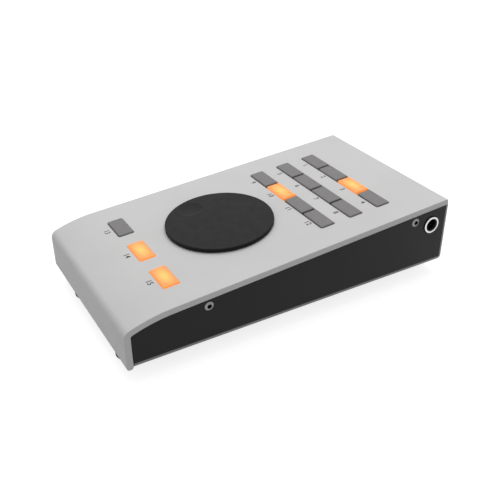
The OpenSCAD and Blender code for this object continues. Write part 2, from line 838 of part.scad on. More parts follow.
top_cover();
cover_blocks();
chassis_tray();
case_screws();
feet();
foot_screws();
foot_nuts();
key_board();
board_spacers();
board_screws();
switch_housings();
key_lights();
chips();
encoder_housing();
encoder_bushing();
bushing_nut();
encoder_shaft();
wheel_hub();
jog_wheel();
io_board();
io_spacers();
jack_body();
jack_ferrule();
jack_contacts();
usb_shell();
usb_core();
usb_contacts();
ribbon_headers();
ribbon_cable();
for (key = [1 : KEY_COUNT]) key_cap(key);
for (key = [1 : KEY_COUNT]) key_plunger(key);
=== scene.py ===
"""Looks of a desktop remote control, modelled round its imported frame.

The file is laid out as an add-on: an operator for each piece or group of like pieces, one for the
stage, and a sidebar panel that lists them. Run as a script, it calls them all in order.
Metres. +X is to the user's right, +Y to the back and +Z up, and the table is at height 0.
"""
import json
import math
from contextlib import contextmanager

import bmesh
import bpy
from bpy.props import FloatProperty, FloatVectorProperty, PointerProperty
from mathutils import Matrix, Vector


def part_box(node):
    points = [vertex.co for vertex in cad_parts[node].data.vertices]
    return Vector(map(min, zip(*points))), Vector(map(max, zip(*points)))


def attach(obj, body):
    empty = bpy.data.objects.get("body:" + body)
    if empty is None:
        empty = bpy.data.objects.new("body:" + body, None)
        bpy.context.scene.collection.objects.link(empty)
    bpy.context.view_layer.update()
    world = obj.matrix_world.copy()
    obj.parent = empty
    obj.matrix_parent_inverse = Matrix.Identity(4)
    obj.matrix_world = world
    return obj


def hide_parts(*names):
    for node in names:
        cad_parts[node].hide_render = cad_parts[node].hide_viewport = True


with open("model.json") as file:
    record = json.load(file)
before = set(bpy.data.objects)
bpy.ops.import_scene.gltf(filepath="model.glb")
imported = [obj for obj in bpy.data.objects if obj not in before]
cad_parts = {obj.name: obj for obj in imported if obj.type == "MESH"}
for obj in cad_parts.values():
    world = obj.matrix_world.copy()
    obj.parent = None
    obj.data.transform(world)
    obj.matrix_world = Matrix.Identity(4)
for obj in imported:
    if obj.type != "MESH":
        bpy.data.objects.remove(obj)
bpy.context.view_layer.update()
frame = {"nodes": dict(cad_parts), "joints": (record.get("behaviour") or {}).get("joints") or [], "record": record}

bl_info = {
    "name": "Desktop Remote Control",
    "version": (1, 0, 0),
    "blender": (4, 5, 0),
    "location": "3D View > Sidebar > Remote",
    "description": "Models the looks of a desktop remote control round its packed frame",
    "category": "Add Mesh",
}

MM = 0.001
CASE = "case"
WHEEL = "wheel"
KEY_ROWS = ((1, 2, 3, 4), (5, 6, 7, 8), (9, 10, 11, 12), (13,), (14,), (15,))
GRID_KEYS = range(1, 13)
LIT_KEYS = (3, 10, 14, 15)

# Edges sharper than this angle show as edges
SMOOTH_ANGLE = math.radians(32)
# A normal or an edge with at least this part of it along an axis runs along that axis
STRAIGHT = 0.998
# How near a vertex is to the plane that it lies on, and how near merged vertices are to each other
NEAR = 0.01 * MM
MERGE = 0.001 * MM
# How far a cutter reaches past what it cuts
CUT = 5 * MM
# Height of a digit in type of size 1
DIGIT_HEIGHT = 0.72
# Half a pixel of the photograph, as a part of its width
HALF_PIXEL = 0.001

# The panel's frame: x across, y up the slope from mid-depth, and height over the panel's surface
WHEEL_JOINT = next(joint for joint in frame["joints"] if joint["name"] == "wheel_turn")
WHEEL_PLACE = Vector(WHEEL_JOINT["pos_m"])
PANEL_NORMAL = Vector(WHEEL_JOINT["axis"])
SLOPE = math.atan2(-PANEL_NORMAL.y, PANEL_NORMAL.z)
PANEL_MID_H = WHEEL_PLACE.z - math.tan(SLOPE) * WHEEL_PLACE.y
PANEL = Matrix.Translation((0, 0, PANEL_MID_H)) @ Matrix.Rotation(SLOPE, 4, "X")
TO_PANEL = PANEL.inverted()

COVER_LOW, COVER_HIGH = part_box("top_cover")
TRAY_LOW, TRAY_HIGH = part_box("chassis_tray")


def corners(points):
    """Lowest and highest corner of the box round some points."""
    return (Vector(min(point[i] for point in points) for i in range(3)),
            Vector(max(point[i] for point in points) for i in range(3)))


def middle(box):
    """Middle of a box that is given by its corners."""
    return (box[0] + box[1]) / 2


def panel_box(node):
    """Corners of a CAD node's box in the panel's frame."""
    return corners([TO_PANEL @ vertex.co for vertex in frame["nodes"][node].data.vertices])


def key_place(key):
    """Centre of a key on the panel's surface, in the panel's frame."""
    spot = middle(panel_box(f"key_cap_{key}"))
    return Vector((spot.x, spot.y, 0))


KEY_PLACES = {key: key_place(key) for row in KEY_ROWS for key in row}
CAP_LOW, CAP_HIGH = panel_box("key_cap_1")
WHEEL_ON_PANEL = TO_PANEL @ WHEEL_PLACE
WHEEL_LOW, WHEEL_HIGH = panel_box("jog_wheel")
HUB_HIGH = panel_box("wheel_hub")[1]


# Settings that a user would change

def length(name, description, default):
    """A length in metres."""
    return FloatProperty(name=name, description=description, default=default, min=0, precision=5,
                         subtype="DISTANCE", unit="LENGTH")


def turn(name, description, degrees):
    """An angle."""
    return FloatProperty(name=name, description=description, default=math.radians(degrees),
                         subtype="ANGLE", unit="ROTATION")


def level(name, description, default, most=1.0):
    """A plain number from nought up."""
    return FloatProperty(name=name, description=description, default=default, min=0, max=most)


def tint(name, description, default):
    """A linear colour."""
    return FloatVectorProperty(name=name, description=description, default=default, min=0, max=1, size=3,
                               subtype="COLOR")


def place(name, description, default):
    """A point in metres."""
    return FloatVectorProperty(name=name, description=description, default=default, size=3, precision=5,
                               subtype="TRANSLATION", unit="LENGTH")


class CoverSettings(bpy.types.PropertyGroup):
    """Sizes and paint of the bent cover"""
    thickness: length("Thickness", "Thickness of the bent plate", 3.3 * MM)
    nose_radius: length("Nose radius", "Inner radius of the sharp bend at the front edge", 1.3 * MM)
    brow_radius: length("Brow radius", "Outer radius of the gentle curve in front of the keys", 78 * MM)
    brow_slope: turn("Brow slope", "Slope of the plate where the gentle curve meets the sharp bend", 20.3)
    end_round: length("End round", "Radius of the plate's upper back edge", 1 * MM)
    lip_round: length("Lip round", "Radius of the front wall's lower edges", 1.386 * MM)
    edge_round: length("Edge round", "Width of the rounding along every cut edge", 0.3 * MM)
    slot_gap: length("Slot gap", "Gap round a key cap in its slot", 0.25 * MM)
    hub_gap: length("Hub gap", "Gap round the wheel's hub in its hole", 1 * MM)
    paint: tint("Paint", "Light grey of the satin paint", (0.65, 0.649, 0.648))


class ChassisSettings(bpy.types.PropertyGroup):
    """Sizes and paint of the chassis pan"""
    sheet: length("Sheet", "Thickness of the chassis sheet", 1.5 * MM)
    bend_radius: length("Bend radius", "Outer radius of the chassis bends", 3.15 * MM)
    corner_radius: length("Corner radius", "Radius of the upper back corners", 2.2 * MM)
    back_flange: length("Back flange", "Depth of the flange under the end of the cover", 7 * MM)
    rim_end: length("Rim end", "Gap between the flange and the level rims of the side walls", 0.2 * MM)
    seam: length("Seam", "Gap between the chassis and the cover", 0.3 * MM)
    screw_gap: length("Screw gap", "Gap round a case screw in its hole", 0.15 * MM)
    jack_gap: length("Jack gap", "Gap round the jack's ferrule in its hole", 0.4 * MM)
    usb_gap: length("USB gap", "Gap round the USB shell in its hole", 0.3 * MM)
    edge_round: length("Edge round", "Width of the rounding along every cut edge", 0.18 * MM)
    paint: tint("Paint", "Black of the fine-textured paint", (0.005, 0.005, 0.0052))
    # Painted highlight: the bends get this lighter, metallic colour in place of the light that their round
    # outsides catch
    rubbed: tint("Bend highlight", "Painted highlight of pale metal along the bends", (0.125, 0.125, 0.125))


class KeySettings(bpy.types.PropertyGroup):
    """Sizes and colours of the key caps and their numbers"""
    depth: length("Depth", "Depth of a key cap", 8.2 * MM)
    corner_radius: length("Corner radius", "Radius of a cap's upright corners", 0.8 * MM)
    top_round: length("Top round", "Width of the rounding round a cap's top", 0.6 * MM)
    wall: length("Wall", "Wall thickness of a cap", 1.2 * MM)
    flange: length("Flange", "Thickness of the flange that keeps a cap in its slot", 1.2 * MM)
    flange_drop: length("Flange drop", "Top of the flange below the panel", 3.4 * MM)
    stem_radius: length("Stem radius", "Radius of the stem down to the switch", 1.5 * MM)
    unlit: tint("Unlit", "Grey of an unlit cap", (0.19, 0.182, 0.182))
    lit: tint("Lit", "Surface colour of a lit cap", (0.3, 0.14, 0.06))
    glow_middle: tint("Glow middle", "Light from the middle of a lit cap", (0.92, 0.5, 0.1))
    glow_edge: tint("Glow edge", "Light from the rim of a lit cap", (0.86, 0.24, 0.04))
    glow: level("Glow", "Strength of a lit cap", 1.0, 20)
    number_height: length("Number height", "Height of a printed number", 3 * MM)
    grid_number_drop: length("Grid number drop", "Number's middle in front of a grid key's middle", 7 * MM)
    front_number_drop: length("Front number drop", "Number's middle in front of a front key's middle",
                              7.7 * MM)
    number_weight: length("Number weight", "Extra width of a number's strokes", 0.05 * MM)
    ink_thickness: length("Ink thickness", "Thickness of the printed numbers", 0.03 * MM)
    ink: tint("Ink", "Dark grey of the printed numbers", (0.02, 0.02, 0.021))


class WheelSettings(bpy.types.PropertyGroup):
    """Sizes and colour of the jog wheel"""
    top_round: length("Top round", "Radius of the upper edge", 0.6 * MM)
    under_round: length("Under round", "Radius of the lower edge", 0.2 * MM)
    hub_fit: length("Hub fit", "Gap round the hub in the wheel's socket", 0.05 * MM)
    dimple_radius: length("Dimple radius", "Radius of the finger dimple at the surface", 7 * MM)
    dimple_depth: length("Dimple depth", "Depth of the finger dimple", 1 * MM)
    dimple_offset: length("Dimple offset", "Distance of the dimple from the wheel's axis", 20.4 * MM)
    dimple_turn: turn("Dimple direction", "Direction of the dimple from the axis", 203)
    dimple_round: length("Dimple round", "Radius of the rounding round the dimple", 1 * MM)
    black: tint("Black", "Black of the wheel", (0.006, 0.006, 0.0063))


class FittingSettings(bpy.types.PropertyGroup):
    """Sizes and colours of the screws, sockets and feet"""
    screw_head_radius: length("Screw head radius", "Head radius of a case screw", 2.35 * MM)
    screw_head: length("Screw head", "Head height of a case screw", 0.6 * MM)
    screw_radius: length("Screw radius", "Thread radius of a case screw", 1.25 * MM)
    screw_length: length("Screw length", "Length of a case screw under its head", 6 * MM)
    screw_hexagon: length("Screw hexagon", "Width across the flats of a case screw's hexagon", 2.2 * MM)
    screw_socket: length("Screw socket", "Depth of a case screw's hexagon", 1.3 * MM)
    screw_edge: length("Screw edge", "Rounding of a case screw's edges", 0.06 * MM)
    jack_radius: length("Jack radius", "Radius of the jack's bore", 3.25 * MM)
    ferrule_round: length("Ferrule round", "Rounding of the ferrule's face", 0.3 * MM)
    mouth_round: length("Mouth round", "Rounding of the ferrule's and the liner's mouth", 0.1 * MM)
    liner_radius: length("Liner radius", "Outer radius of the black liner in the jack's mouth", 3.7 * MM)
    liner_depth: length("Liner depth", "Depth of that liner", 1.6 * MM)
    liner_drop: length("Liner drop", "How far that liner lies behind the ferrule's face", 0.25 * MM)
    usb_wall: length("USB wall", "Wall of the USB shell", 0.4 * MM)
    usb_corner: length("USB corner", "Outer radius of the USB shell's bends", 0.44 * MM)
    usb_edge: length("USB edge", "Rounding of the USB shell's cut edges", 0.08 * MM)
    foot_taper: length("Foot taper", "How much narrower a foot is at the table", 0.1 * MM)
    foot_round: length("Foot round", "Rounding of a foot's lower edge", 0.5 * MM)
    foot_edge: length("Foot edge", "Rounding of a foot's other edges", 0.15 * MM)
    foot_recess: length("Foot recess", "Radius of the recess for a foot's screw", 3.4 * MM)
    foot_web: length("Foot web", "Thickness of rubber under the chassis", 3.5 * MM)
    foot_hole: length("Foot hole", "Radius of the screw's hole in a foot", 1.65 * MM)
    steel: tint("Steel", "Zinc-plated steel", (0.42, 0.42, 0.43))
    screw_steel: tint("Screw steel", "Darker steel of the case screws", (0.22, 0.22, 0.225))
    nickel: tint("Nickel", "Bright nickel of the jack's ferrule", (0.62, 0.62, 0.63))
    liner: tint("Liner", "Black of the liner in the jack's mouth", (0.01, 0.01, 0.01))
    rubber: tint("Rubber", "Black of the feet", (0.016, 0.016, 0.017))


class StageSettings(bpy.types.PropertyGroup):
    """Camera, light, floor and sky"""
    camera: place("Camera", "Place of the camera", (0.298115, -0.17422, 0.22616))
    target: place("Target", "Point that the camera looks at", (0, 0, 0.015969))
    roll: turn("Roll", "Turn of the camera about its view", -0.107)
    lens: FloatProperty(name="Lens", description="Focal length in millimetres", default=52.57, min=1)
    sky: level("Sky", "Strength of the even light all round", 0.5, 10)
    light: place("Light", "Place of the large light overhead", (-0.25, 0.15, 0.9))
    light_size: length("Light size", "Width of that light", 0.9)
    light_power: level("Light power", "Power of that light in watts", 4.6, 1000)
    floor_size: length("Floor size", "Width of the floor", 8)
    floor: tint("Floor", "Colour of the floor under its own shadow", (0.5, 0.5, 0.5))
    backdrop: level("Backdrop", "How much white the camera adds to the floor", 0.8, 1)


class RemoteSettings(bpy.types.PropertyGroup):
    """All the settings of the remote control"""
    cover: PointerProperty(type=CoverSettings, name="Cover", description="Bent cover")
    chassis: PointerProperty(type=ChassisSettings, name="Chassis", description="Chassis pan")
    keys: PointerProperty(type=KeySettings, name="Keys", description="Key caps and numbers")
    wheel: PointerProperty(type=WheelSettings, name="Wheel", description="Jog wheel")
    fittings: PointerProperty(type=FittingSettings, name="Fittings", description="Screws, sockets and feet")
    stage: PointerProperty(type=StageSettings, name="Stage", description="Camera, light and floor")


# Modelling by hand, in code

def deselect():
    """Leave edit mode and select nothing."""
    if bpy.context.mode != "OBJECT":
        bpy.ops.object.mode_set(mode="OBJECT")
    bpy.ops.object.select_all(action="DESELECT")


def select_only(piece):
    """Make one piece the only selected one, and the active one."""
    deselect()
    piece.select_set(True)
    bpy.context.view_layer.objects.active = piece


def renamed(piece, name):
    """Name a piece and its mesh."""
    piece.name = name
    piece.data.name = name
    return piece


def named(name):
    """Name the piece that was just added."""
    return renamed(bpy.context.object, name)


@contextmanager
def editing(piece):
    """Edit mode on one piece, with nothing selected."""
    select_only(piece)
    bpy.ops.object.mode_set(mode="EDIT")
    bpy.ops.mesh.select_mode(type="VERT")
    bpy.ops.mesh.select_all(action="DESELECT")
    yield
    bpy.ops.object.mode_set(mode="OBJECT")


def pick_all():
    """In edit mode, select everything."""
    bpy.ops.mesh.select_all(action="SELECT")


def pick(kind, test):
    """In edit mode, select just the vertices, edges or faces that pass a test."""
    piece = bpy.context.edit_object
    bpy.ops.mesh.select_mode(type=kind)
    bpy.ops.mesh.select_all(action="DESELECT")
    shape = bmesh.from_edit_mesh(piece.data)
    shape.normal_update()
    elements = {"VERT": shape.verts, "EDGE": shape.edges, "FACE": shape.faces}[kind]
    found = [element for element in elements if test(element)]
    if not found:
        raise RuntimeError(f"{piece.name}: no {kind.lower()} to select")
    for element in found:
        element.select_set(True)
    bmesh.update_edit_mesh(piece.data)


def all_ends(edge, test):
    """Whether both ends of an edge pass a test on their place."""
    return all(test(vertex.co) for vertex in edge.verts)


def bevel_picked(width, segments):
    """Round the picked edges."""
    bpy.ops.mesh.bevel(offset_type="OFFSET", offset=width, segments=segments, profile=0.5, affect="EDGES")


def apply_modifier(piece, kind, **values):
    """Add a modifier and apply it."""
    modifier = piece.modifiers.new(kind.lower(), kind)
    for name, value in values.items():
        setattr(modifier, name, value)
    select_only(piece)
    bpy.ops.object.modifier_apply(modifier=modifier.name)


def combine(piece, other, operation):
    """Join another shape to a piece, or cut it away, and remove the other."""
    apply_modifier(piece, "BOOLEAN", object=other, operation=operation, solver="EXACT")
    bpy.data.objects.remove(other)


def join(pieces, name):
    """Make several shapes one, with a name of its own."""
    select_only(pieces[0])
    for piece in pieces:
        piece.select_set(True)
    bpy.ops.object.join()
    return renamed(pieces[0], name)


def thicken(piece, thickness):
    """Give a skin its thickness, inwards."""
    apply_modifier(piece, "SOLIDIFY", thickness=thickness, offset=-1, use_even_offset=True)


def soften(piece, width, segments=3):
    """Round every sharp edge of a piece, and shade it smooth with flat faces left flat."""
    apply_modifier(piece, "BEVEL", width=width, segments=segments, limit_method="ANGLE",
                   angle_limit=SMOOTH_ANGLE, use_clamp_overlap=False)
    shade(piece)


def shade(piece):
    """Shade a piece smooth up to the angle of a real edge."""
    select_only(piece)
    bpy.ops.object.shade_smooth_by_angle(angle=SMOOTH_ANGLE)
    apply_modifier(piece, "WEIGHTED_NORMAL", keep_sharp=True)


def move_mesh(piece, matrix):
    """Put a piece's place in its mesh."""
    piece.data.transform(matrix)
    piece.data.update()


def copied(piece, name, matrix):
    """A copy with its own mesh, put in its place."""
    copy = piece.copy()
    copy.data = piece.data.copy()
    bpy.context.scene.collection.objects.link(copy)
    move_mesh(copy, matrix)
    return renamed(copy, name)


def spread(piece, name, matrices):
    """Copies of a piece in several places, joined, in the piece's stead."""
    copies = [copied(piece, name, matrix) for matrix in matrices]
    bpy.data.objects.remove(piece)
    return join(copies, name)


def facing_side(spot, side=1):
    """Matrix that turns an upright piece to face right, or left for -1, and puts it in a place."""
    return Matrix.Translation(spot) @ Matrix.Rotation(side * math.pi / 2, 4, "Y")


def solid_boxes(node):
    """Boxes of the separate solids in a node, which a merged copy of its mesh gives."""
    shape = bmesh.new()
    shape.from_mesh(frame["nodes"][node].data)
    bmesh.ops.remove_doubles(shape, verts=shape.verts, dist=MERGE)
    left = set(shape.verts)
    boxes = []
    while left:
        island, waiting = [], [left.pop()]
        while waiting:
            vertex = waiting.pop()
            island.append(vertex.co)
            others = {edge.other_vert(vertex) for edge in vertex.link_edges} & left
            left -= others
            waiting.extend(others)
        boxes.append(corners(island))
    shape.free()
    return sorted(boxes, key=lambda box: tuple(round(c, 5) for c in box[0]))


def block(name, low, high):
    """Box between two corners."""
    low, high = Vector(low), Vector(high)
    deselect()
    bpy.ops.mesh.primitive_cube_add(size=1, location=(low + high) / 2, scale=high - low)
    piece = named(name)
    bpy.ops.object.transform_apply(location=True, rotation=True, scale=True)
    return piece


def round_bar(name, radius, low, high, vertices=64):
    """Upright round bar on the axis, from one height to another."""
    deselect()
    bpy.ops.mesh.primitive_cylinder_add(vertices=vertices, radius=radius, depth=high - low,
                                        location=(0, 0, (low + high) / 2))
    piece = named(name)
    bpy.ops.object.transform_apply(location=True, rotation=True, scale=True)
    return piece


def upright_edge(edge):
    """Whether an edge runs along Z."""
    run = edge.verts[1].co - edge.verts[0].co
    return abs(run.normalized().z) > STRAIGHT


def rounded_block(name, low, high, radius, segments=6):
    """Box with round upright corners."""
    piece = block(name, low, high)
    with editing(piece):
        pick("EDGE", upright_edge)
        bevel_picked(radius, segments)
    return piece


def drawn_line(name, points):
    """Row of edges through points."""
    deselect()
    bpy.ops.mesh.primitive_plane_add(size=1)
    piece = named(name)
    with editing(piece):
        pick_all()
        bpy.ops.mesh.merge(type="CENTER")
        bpy.ops.transform.translate(value=points[0])
        for start, end in zip(points, points[1:]):
            bpy.ops.mesh.extrude_region_move(TRANSFORM_OT_translate={"value": end - start})
    return piece


def lathe(name, outline, steps=96):
    """Turned piece: draws an outline of (radius, height) points and spins it about Z."""
    piece = drawn_line(name, [Vector((radius, 0, height)) for radius, height in outline])
    with editing(piece):
        pick_all()
        bpy.ops.mesh.spin(steps=steps, angle=math.tau, center=(0, 0, 0), axis=(0, 0, 1))
        pick_all()
        bpy.ops.mesh.remove_doubles(threshold=MERGE)
        bpy.ops.mesh.normals_make_consistent(inside=False)
    return piece


def prism(name, outline, low_x, high_x):
    """Bar along X: draws an outline of (y, z) points, fills it and draws it out."""
    piece = drawn_line(name, [Vector((low_x, y, z)) for y, z in outline])
    with editing(piece):
        pick_all()
        bpy.ops.mesh.edge_face_add()
        bpy.ops.mesh.extrude_region_move(TRANSFORM_OT_translate={"value": (high_x - low_x, 0, 0)})
        pick_all()
        bpy.ops.mesh.normals_make_consistent(inside=False)
    return piece


def arc(centre, radius, start, end, steps):
    """Points along an arc in a flat outline, from one angle in degrees to another."""
    angles = [math.radians(start + (end - start) * i / steps) for i in range(steps + 1)]
    return [(centre[0] + radius * math.cos(a), centre[1] + radius * math.sin(a)) for a in angles]


def mark_faces(piece, mark, test):
    """Mark the faces that pass a test, for a finish to use."""
    marks = piece.data.attributes.new(mark, "FLOAT", "FACE")
    for face in piece.data.polygons:
        marks.data[face.index].value = float(test(face))


def finish_piece(piece, material, body, slot, *nodes):
    """Give a piece its material and its body, and hide the nodes that it stands for; the slot is not used."""
    piece.data.materials.clear()
    piece.data.materials.append(material)
    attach(piece, body)
    if nodes:
        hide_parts(*nodes)


# Finishes

class Finish:
    """A material, with the textures that finishes share."""

    def __init__(self, name, metallic=0.0, specular=0.5):
        self.material = bpy.data.materials.new(name)
        self.material.use_nodes = True
        self.nodes = self.material.node_tree.nodes
        self.links = self.material.node_tree.links
        self.shader = self.nodes["Principled BSDF"]
        self.shader.inputs["Metallic"].default_value = metallic
        self.shader.inputs["Specular IOR Level"].default_value = specular
        self.object_place = self.nodes.new("ShaderNodeTexCoord").outputs["Object"]

    def link(self, output, entry):
        """Feed one socket from another."""
        self.links.new(output, entry)

    def stretched(self, scale):
        """Object coordinates, stretched along the axes."""
        mapping = self.nodes.new("ShaderNodeMapping")
        mapping.inputs["Scale"].default_value = scale
        self.link(self.object_place, mapping.inputs["Vector"])
        return mapping.outputs["Vector"]

    def noise(self, size, detail=2.0, vector=None):
        """Noise with grains of one size."""
        noise = self.nodes.new("ShaderNodeTexNoise")
        noise.inputs["Scale"].default_value = 1 / size
        noise.inputs["Detail"].default_value = detail
        self.link(vector or self.object_place, noise.inputs["Vector"])
        return noise.outputs["Fac"]

    def tinted(self, factor, colours, entry="Base Color", start=0.3, end=0.7):
        """Colour that runs through a list as a factor rises."""
        ramp = self.nodes.new("ShaderNodeValToRGB")
        stops = ramp.color_ramp.elements
        while len(stops) < len(colours):
            stops.new(0.5)
        for i, (stop, colour) in enumerate(zip(stops, colours)):
            stop.position = start + (end - start) * i / (len(colours) - 1)
            stop.color = (*colour, 1)
        self.link(factor, ramp.inputs["Fac"])
        self.link(ramp.outputs["Color"], self.shader.inputs[entry])

    def mottled(self, factor, colour, amount):
        """One colour, a little darker and lighter in patches."""
        shades = [[min(1.0, part * (1 + side * amount)) for part in colour] for side in (-1, 1)]
        self.tinted(factor, shades)

    def rough(self, factor, low, high):
        """Roughness between two values."""
        span = self.nodes.new("ShaderNodeMapRange")
        span.inputs["From Min"].default_value = 0.3
        span.inputs["From Max"].default_value = 0.7
        span.inputs["To Min"].default_value = low
        span.inputs["To Max"].default_value = high
        self.link(factor, span.inputs["Value"])
        self.link(span.outputs["Result"], self.shader.inputs["Roughness"])

    def mark(self, name):
        """Factor that is 1 on the faces with a mark."""
        source = self.nodes.new("ShaderNodeAttribute")
        source.attribute_name = name
        return source.outputs["Fac"]

    def bumpy(self, factor, height, strength=1.0):
        """Relief of a height in metres."""
        bump = self.nodes.new("ShaderNodeBump")
        bump.inputs["Strength"].default_value = strength
        bump.inputs["Distance"].default_value = height
        self.link(factor, bump.inputs["Height"])
        self.link(bump.outputs["Normal"], self.shader.inputs["Normal"])


def cover_paint(colour):
    """Light satin paint with a fine orange peel."""
    finish = Finish("cover_paint", specular=0.2)
    finish.mottled(finish.noise(28 * MM, 3), colour, 0.02)
    finish.rough(finish.noise(6 * MM), 0.54, 0.62)
    finish.bumpy(finish.noise(0.45 * MM, 3), 0.012 * MM)
    return finish.material


def chassis_paint(colour, rubbed):
    """Black powder coat with a fine pebble, and a painted highlight of pale metal on the bends."""
    finish = Finish("chassis_paint", specular=0.17)
    # Painted highlight on the bends: lighter grey and metallic where their round outsides would catch light
    bend = finish.mark("bend")
    finish.tinted(bend, [colour, rubbed], start=0, end=1)
    finish.link(bend, finish.shader.inputs["Metallic"])
    finish.rough(finish.noise(9 * MM), 0.3, 0.36)
    finish.bumpy(finish.noise(0.5 * MM, 3), 0.02 * MM)
    return finish.material


def cap_plastic(colour):
    """Cloudy moulded cap, unlit."""
    finish = Finish("cap_plastic", specular=0.4)
    finish.mottled(finish.noise(2.5 * MM, 3), colour, 0.05)
    finish.rough(finish.noise(1.5 * MM), 0.42, 0.52)
    finish.bumpy(finish.noise(0.2 * MM), 0.004 * MM)
    return finish.material


def lit_cap_plastic(keys):
    """Moulded cap with a light inside, brightest in the middle."""
    finish = Finish("lit_cap_plastic", specular=0.4)
    finish.mottled(finish.noise(2.5 * MM, 3), keys.lit, 0.05)
    finish.rough(finish.noise(1.5 * MM), 0.42, 0.52)
    face = finish.nodes.new("ShaderNodeUVMap")
    face.uv_map = "cap_face"
    distance = finish.nodes.new("ShaderNodeVectorMath")
    distance.operation = "LENGTH"
    finish.link(face.outputs["UV"], distance.inputs[0])
    finish.tinted(distance.outputs["Value"], [keys.glow_middle, keys.glow_edge], "Emission Color",
                  start=0.15, end=1.0)
    finish.shader.inputs["Emission Strength"].default_value = keys.glow
    return finish.material


def number_ink(colour):
    """Screen-printed ink."""
    finish = Finish("number_ink", specular=0.3)
    finish.mottled(finish.noise(0.5 * MM), colour, 0.15)
    finish.rough(finish.noise(0.4 * MM), 0.5, 0.62)
    return finish.material


def wheel_black(colour):
    """Fine-blasted black of the wheel."""
    finish = Finish("wheel_black", specular=0.15)
    finish.mottled(finish.noise(0.35 * MM, 3), colour, 0.15)
    finish.rough(finish.noise(5 * MM), 0.5, 0.58)
    finish.bumpy(finish.noise(0.3 * MM, 3), 0.008 * MM)
    return finish.material


def plated_metal(name, colour, low, high, grain=(1, 1, 1)):
    """Plated metal with a fine drawn grain."""
    finish = Finish(name, metallic=1.0)
    drawn = finish.stretched(grain)
    finish.mottled(finish.noise(0.8 * MM, 3, drawn), colour, 0.06)
    finish.rough(finish.noise(0.5 * MM, 2, drawn), low, high)
    finish.bumpy(finish.noise(0.25 * MM, 2, drawn), 0.003 * MM)
    return finish.material


def screw_metal(colour):
    """Darkened steel of a case screw, with painted shade in its hexagon: near-black where the deep socket lies in
    shade.
    """
    finish = Finish("screw_steel", metallic=1.0)
    # Painted shade: the hexagon's faces are near-black, as the deep socket lies in shade
    finish.tinted(finish.mark("socket"), [colour, (0.004, 0.004, 0.004)], start=0, end=1)
    finish.rough(finish.noise(0.5 * MM), 0.3, 0.42)
    finish.bumpy(finish.noise(0.25 * MM), 0.003 * MM)
    return finish.material


def moulded(name, colour, low=0.45, high=0.6):
    """Plain moulded plastic or rubber."""
    finish = Finish(name, specular=0.4)
    finish.mottled(finish.noise(1.2 * MM, 3), colour, 0.1)
    finish.rough(finish.noise(0.8 * MM), low, high)
    finish.bumpy(finish.noise(0.3 * MM), 0.006 * MM)
    return finish.material


def circuit_board(name, mask, track):
    """Solder mask with paler tracks under it."""
    finish = Finish(name, specular=0.5)
    tracks = finish.nodes.new("ShaderNodeTexBrick")
    tracks.inputs["Scale"].default_value = 1 / (9 * MM)
    tracks.inputs["Mortar Size"].default_value = 0.035
    tracks.inputs["Color1"].default_value = (*mask, 1)
    tracks.inputs["Color2"].default_value = (*[part * 0.85 for part in mask], 1)
    tracks.inputs["Mortar"].default_value = (*track, 1)
    finish.link(finish.object_place, tracks.inputs["Vector"])
    finish.link(tracks.outputs["Color"], finish.shader.inputs["Base Color"])
    finish.rough(finish.noise(2 * MM), 0.25, 0.35)
    finish.bumpy(tracks.outputs["Fac"], 0.03 * MM, 0.5)
    return finish.material


# The cover

def side_normal(slope):
    """Upward normal of a surface that rises to the back."""
    return Vector((0, -math.sin(slope), math.cos(slope)))


def cover_curves(cover):
    """Side-view centres of the brow and nose curves, and where the brow starts."""
    nose_r = cover.nose_radius + cover.thickness
    brow_y = (COVER_LOW.y + cover.brow_radius * (math.sin(cover.brow_slope) - math.sin(SLOPE))
              + nose_r * (1 - math.sin(cover.brow_slope)))
    brow_z = PANEL_MID_H + math.tan(SLOPE) * brow_y
    brow = Vector((0, brow_y, brow_z)) - cover.brow_radius * side_normal(SLOPE)
    nose = brow + (cover.brow_radius - nose_r) * side_normal(cover.brow_slope)
    return brow, nose, brow_y


def bent_sheet(cover):
    """The cover's outer skin: a flat panel, spun round both curves and drawn down to the lip."""
    brow, nose, brow_y = cover_curves(cover)
    start = brow_y / math.cos(SLOPE)
    end = (COVER_HIGH.y - cover.thickness * math.sin(SLOPE)) / math.cos(SLOPE)
    deselect()
    bpy.ops.mesh.primitive_plane_add(size=1, location=PANEL @ Vector((0, (start + end) / 2, 0)),
                                     rotation=(SLOPE, 0, 0))
    sheet = named("top_cover_plate")
    sheet.scale = (COVER_HIGH.x - COVER_LOW.x, end - start, 1)
    bpy.ops.object.transform_apply(location=True, rotation=True, scale=True)
    with editing(sheet):
        pick("EDGE", lambda edge: all_ends(edge, lambda co: co.y < brow_y + NEAR))
        bpy.ops.mesh.spin(steps=16, angle=cover.brow_slope - SLOPE, center=brow, axis=(-1, 0, 0))
        bpy.ops.mesh.spin(steps=12, angle=math.pi / 2 - cover.brow_slope, center=nose, axis=(-1, 0, 0))
        bpy.ops.mesh.extrude_region_move(TRANSFORM_OT_translate={"value": (0, 0, COVER_LOW.z - nose.z)})
        pick_all()
        bpy.ops.mesh.normals_make_consistent(inside=False)
        shape = bmesh.from_edit_mesh(sheet.data)
        if max(shape.faces, key=lambda face: face.calc_area()).normal.z < 0:
            bpy.ops.mesh.flip_normals()
    return sheet


def slot_cutter(cover, keys, row):
    """Cutter for one slot round a row of keys."""
    gap = cover.slot_gap
    first, last = KEY_PLACES[row[0]], KEY_PLACES[row[-1]]
    half = Vector(((CAP_HIGH.x - CAP_LOW.x) / 2 + gap, keys.depth / 2 + gap, 0))
    low, high = first - half, last + half
    low.z, high.z = -2 * CUT, CUT
    cutter = rounded_block("slot_cutter", low, high, keys.corner_radius + gap)
    move_mesh(cutter, PANEL)
    return cutter


